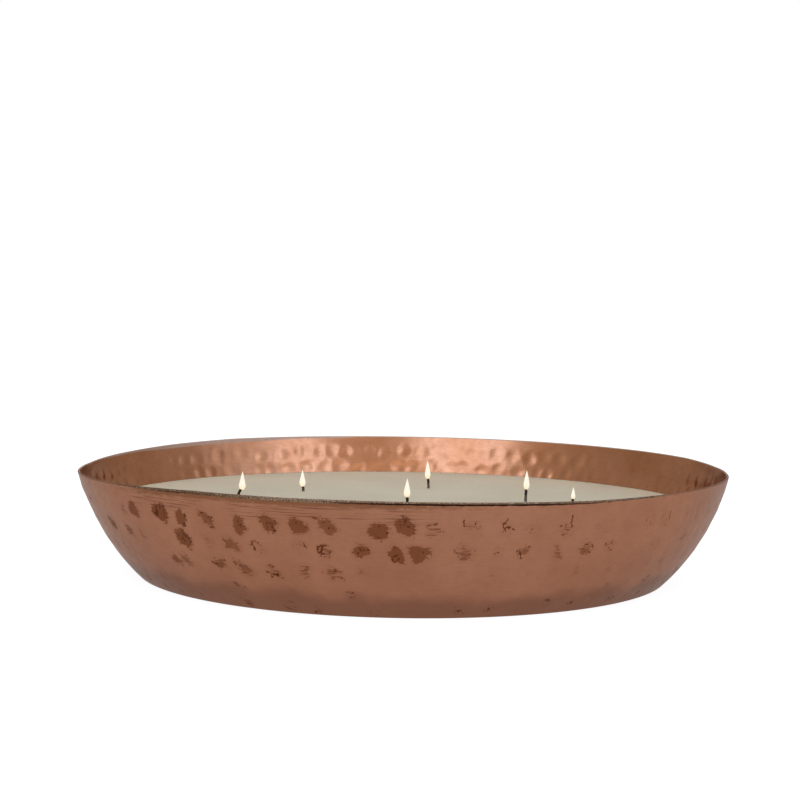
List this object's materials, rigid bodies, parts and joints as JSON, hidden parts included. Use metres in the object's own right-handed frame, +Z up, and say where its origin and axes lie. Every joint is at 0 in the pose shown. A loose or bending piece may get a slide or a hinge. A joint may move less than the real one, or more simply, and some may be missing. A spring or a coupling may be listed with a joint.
{
  "type": "hammered copper candle dish",
  "caption": "Large round hammered copper dish with a flat base and flared wall, filled with wax and wicks as a lit multi-wick candle.",
  "frame": {"origin": "centre of the flat underside of the dish, on the surface it stands on", "axes": "+Z up, along the axis of the dish; -Y towards the side taken as the front; +X to the right seen from the front"},
  "size_m": [0.4572, 0.4572, 0.076],
  "materials": {
    "hammered_copper": "satin",
    "wax": "matte",
    "wick": "matte",
    "clip_steel": "satin",
    "glue": "matte"
  },
  "bodies": {
    "root": {"tray": "hammered_copper", "wax": "wax", "wick_1": "wick", "wick_clip_1": "clip_steel", "glue_dot_1": "glue", "wick_2": "wick", "wick_clip_2": "clip_steel", "glue_dot_2": "glue", "wick_3": "wick", "wick_clip_3": "clip_steel", "glue_dot_3": "glue", "wick_4": "wick", "wick_clip_4": "clip_steel", "glue_dot_4": "glue", "wick_5": "wick", "wick_clip_5": "clip_steel", "glue_dot_5": "glue", "wick_6": "wick", "wick_clip_6": "clip_steel", "glue_dot_6": "glue"}
  },
  "joints": []
}
